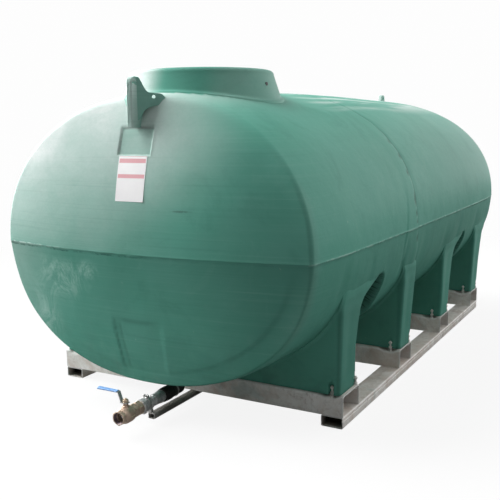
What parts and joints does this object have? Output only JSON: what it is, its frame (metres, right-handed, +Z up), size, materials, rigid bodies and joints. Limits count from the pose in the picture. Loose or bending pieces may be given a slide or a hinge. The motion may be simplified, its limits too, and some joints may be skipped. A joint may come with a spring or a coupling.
{
  "type": "liquid fertilizer tank",
  "caption": "Horizontal green polyethylene liquid tank on moulded legs, bolted to a galvanised steel skid, with a wide top neck and a ball valve outlet.",
  "frame": {"origin": "on the ground under the middle of the overall box, which runs from the valve's mouth to the rear end's crown", "axes": "+Z up, +Y along the tank away from the outlet end, +X to the right as seen from the outlet end"},
  "size_m": [1.9454, 3.98, 1.802],
  "materials": {
    "green_polyethylene": "moulded polyethylene, satin with scuffs and an uneven parting line",
    "black_plastic": "satin moulded plastic",
    "label_vinyl": "semi-gloss white vinyl with two plain red bands",
    "galvanised_steel": "mottled hot-dip galvanising, weathered",
    "zinc_fasteners": "zinc plated",
    "black_pipe_fitting": "black threaded fitting",
    "bright_clamp_steel": "bright stainless band",
    "galvanised_pipework": "galvanised pipe",
    "valve_brass": "dull cast brass",
    "ball_chrome": "polished",
    "lever_steel": "zinc plated, dark",
    "blue_sleeve": "dipped vinyl",
    "dark_galvanised": "dull dark galvanising"
  },
  "bodies": {
    "tank_and_skid": {"tank_barrel": "green_polyethylene", "front_end": "green_polyethylene", "rear_end": "green_polyethylene", "mid_band": "green_polyethylene", "neck": "green_polyethylene", "lid": "black_plastic", "neck_plug": "black_plastic", "front_lifting_lug": "green_polyethylene", "rear_lifting_lug": "green_polyethylene", "label": "label_vinyl", "leg_1": "green_polyethylene", "leg_2": "green_polyethylene", "leg_3": "green_polyethylene", "leg_4": "green_polyethylene", "skid_rail_left": "galvanised_steel", "skid_rail_right": "galvanised_steel", "cross_beam_1": "galvanised_steel", "cross_beam_2": "galvanised_steel", "cross_beam_3": "galvanised_steel", "cross_beam_4": "galvanised_steel", "hold_down_bolts_1": "zinc_fasteners", "hold_down_bolts_2": "zinc_fasteners", "hold_down_bolts_3": "zinc_fasteners", "hold_down_bolts_4": "zinc_fasteners", "outlet_elbow": "black_pipe_fitting", "elbow_ring": "bright_clamp_steel", "black_collar": "black_pipe_fitting", "galvanised_pipe": "galvanised_pipework", "hose_clamp": "bright_clamp_steel", "steel_socket": "galvanised_pipework", "hex_nipple": "valve_brass", "valve_body": "valve_brass", "support_arm": "dark_galvanised", "arm_strap": "dark_galvanised"},
    "valve_handle": {"valve_ball": "ball_chrome", "valve_stem": "valve_brass", "valve_lever": "lever_steel", "lever_sleeve": "blue_sleeve"}
  },
  "joints": [
    {"name": "valve_turn", "type": "hinge", "parent": "tank_and_skid", "child": "valve_handle", "pos_m": [0, -1.928, 0.113], "axis": [0, 0, 1], "range_deg": [0, 90]}
  ]
}
